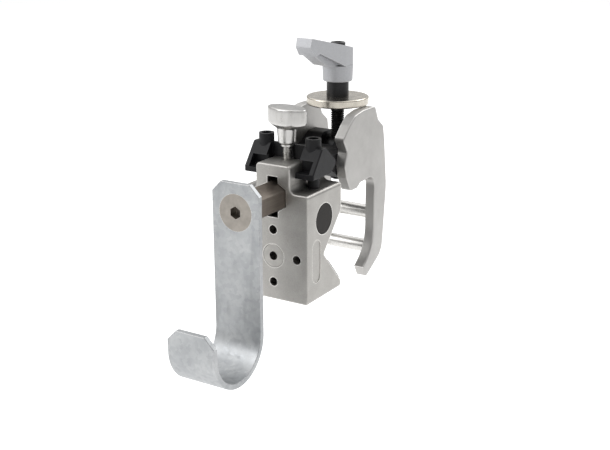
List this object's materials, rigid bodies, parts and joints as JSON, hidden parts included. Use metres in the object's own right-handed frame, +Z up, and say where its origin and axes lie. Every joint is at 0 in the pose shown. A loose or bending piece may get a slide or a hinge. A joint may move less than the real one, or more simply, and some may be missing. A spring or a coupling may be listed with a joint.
{
  "type": "super clamp",
  "caption": "Tube clamp with a V fixed jaw, swing-bolt hook jaw with indexing lever, hex spigot socket with wing screw, and a bolt-on J cable hook.",
  "frame": {"origin": "on the axis of the gripped tube, midway along the jaws", "axes": "+X along the tube, +Y away from the fixed jaw, +Z up towards the lever"},
  "size_m": [0.0442, 0.1664, 0.1669],
  "materials": {
    "cast_aluminium": "satin",
    "black_rubber": "matte",
    "dark_steel": "satin",
    "plain_steel": "satin",
    "black_casting": "satin",
    "black_steel": "satin",
    "plate_aluminium": "satin",
    "nickel_plate": "polished",
    "silver_coat": "satin",
    "polished_aluminium": "polished",
    "brass": "satin",
    "spigot_steel": "satin",
    "zinc_plate": "satin"
  },
  "bodies": {
    "jaw": {"fixed_jaw": "cast_aluminium", "v_liners": "black_rubber", "side_plugs": "dark_steel", "threaded_insert": "plain_steel", "hinge_block": "black_casting", "block_screws": "black_steel", "jaw_pivot_pin": "plain_steel"},
    "hook_jaw": {"jaw_plate_right": "plate_aluminium", "jaw_plate_left": "plate_aluminium", "jaw_spacers": "plain_steel"},
    "swing_bolt": {"trunnion": "black_steel"},
    "disc": {"pressure_disc": "nickel_plate"},
    "screw": {"clamp_screw": "black_steel", "retaining_ring": "black_steel", "lever_insert": "black_steel", "lever_cap_screw": "black_steel", "lever_spring": "plain_steel"},
    "lever": {"lever_handle": "silver_coat"},
    "shoe": {"locking_shoe": "brass"},
    "wing": {"wing_head": "polished_aluminium", "wing_stem": "plain_steel"},
    "spigot": {"hex_spigot": "spigot_steel", "countersunk_screw": "nickel_plate"},
    "hook": {"cable_hook": "zinc_plate"}
  },
  "joints": [
    {"name": "bolt_swing", "type": "hinge", "parent": "jaw", "child": "swing_bolt", "pos_m": [0, 0.0187, 0.0468], "axis": [1, 0, 0], "range_deg": [-40, 0]},
    {"name": "disc_travel", "type": "slide", "parent": "swing_bolt", "child": "disc", "axis": [0, 0, 1], "range_m": [0, 0.015]},
    {"name": "screw_turn", "type": "hinge", "parent": "disc", "child": "screw", "pos_m": [0, 0.0187, 0.07], "axis": [0, 0, 1], "range_deg": [0, 4320]},
    {"name": "lever_lift", "type": "slide", "parent": "screw", "child": "lever", "axis": [0, 0, 1], "range_m": [0, 0.004], "stiffness_N_per_m": 900, "deforming": ["lever_spring"]},
    {"name": "jaw_swing", "type": "hinge", "parent": "jaw", "child": "hook_jaw", "pos_m": [0, -0.001, 0.0425], "axis": [1, 0, 0], "range_deg": [0, 30]},
    {"name": "wing_travel", "type": "slide", "parent": "jaw", "child": "shoe", "axis": [0, 0, 1], "range_m": [0, 0.003]},
    {"name": "wing_turn", "type": "hinge", "parent": "shoe", "child": "wing", "pos_m": [0, -0.0357, 0.06], "axis": [0, 0, 1], "range_deg": [0, 1350]},
    {"name": "spigot_slide", "type": "slide", "parent": "jaw", "child": "spigot", "axis": [0, -1, 0], "range_m": [0, 0.03]},
    {"name": "hook_turn", "type": "hinge", "parent": "spigot", "child": "hook", "pos_m": [0, -0.084, 0.0335], "axis": [0, -1, 0], "range_deg": [-90, 90]}
  ],
  "couplings": [
    {"joint": "disc_travel", "follows": "screw_turn", "m_per_rad": 0.00019894},
    {"joint": "jaw_swing", "follows": "screw_turn", "ratio": 0.0069444},
    {"joint": "wing_turn", "follows": "wing_travel", "rad_per_m": 7853.9}
  ]
}
